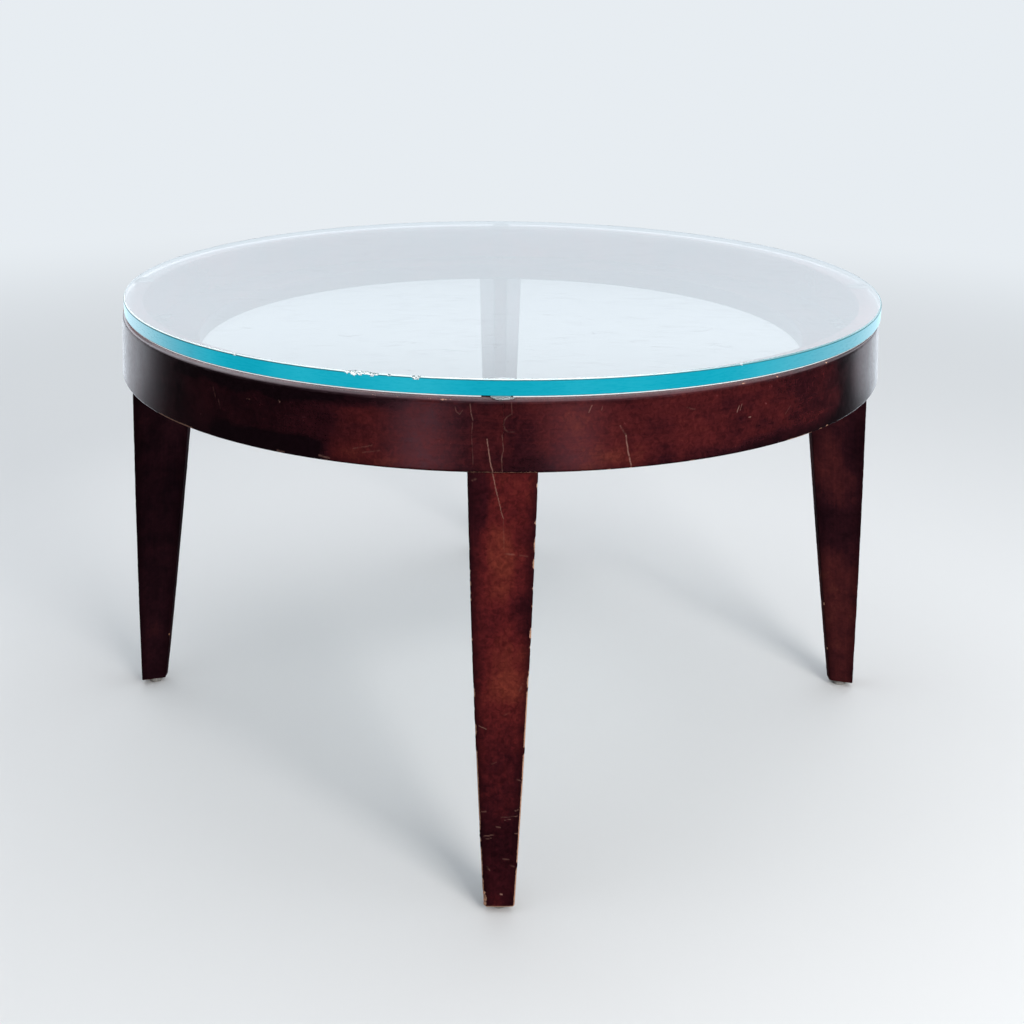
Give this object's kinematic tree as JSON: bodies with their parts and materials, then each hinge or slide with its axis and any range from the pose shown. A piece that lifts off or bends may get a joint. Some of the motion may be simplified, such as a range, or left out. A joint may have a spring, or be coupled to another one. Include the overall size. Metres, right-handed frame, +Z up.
{
  "type": "coffee table",
  "caption": "Round coffee table with a thick clear glass top resting on clear pads, a thin dark-stained wooden hoop apron and tapered wedge-section legs on nail-on glides.",
  "frame": {"origin": "floor level under the centre of the table", "axes": "+Z up; -Y towards the leg nearest the viewer in the picture, +X to the viewer's right"},
  "size_m": [0.8032, 0.8032, 0.4658],
  "materials": {
    "stained_wood": "dark mahogany stain under satin lacquer, worn on the edges",
    "plain_wood": "unfinished plywood tongue",
    "zinc_steel": "zinc plated",
    "glide_nylon": "scuffed nylon",
    "clear_pad": "clear soft vinyl",
    "clear_glass": "clear float glass with polished blue-green rim"
  },
  "bodies": {
    "frame": {"apron_front_right": "stained_wood", "apron_back_right": "stained_wood", "apron_back_left": "stained_wood", "apron_front_left": "stained_wood", "apron_splines": "plain_wood", "mounting_ring_front": "stained_wood", "mounting_ring_right": "stained_wood", "mounting_ring_back": "stained_wood", "mounting_ring_left": "stained_wood", "mounting_ring_splines": "plain_wood", "leg_front": "stained_wood", "leg_right": "stained_wood", "leg_back": "stained_wood", "leg_left": "stained_wood", "leg_bolts": "zinc_steel", "leg_washers": "zinc_steel", "leg_nuts": "zinc_steel", "foot_glide_front": "glide_nylon", "foot_glide_right": "glide_nylon", "foot_glide_back": "glide_nylon", "foot_glide_left": "glide_nylon", "glide_nails": "zinc_steel", "glass_pad_front": "clear_pad", "glass_pad_right": "clear_pad", "glass_pad_back": "clear_pad", "glass_pad_left": "clear_pad"},
    "glass": {"glass_top": "clear_glass"}
  },
  "joints": [
    {"name": "glass_lift", "type": "slide", "parent": "frame", "child": "glass", "axis": [0, 0, 1], "range_m": [0, 0.3]}
  ]
}
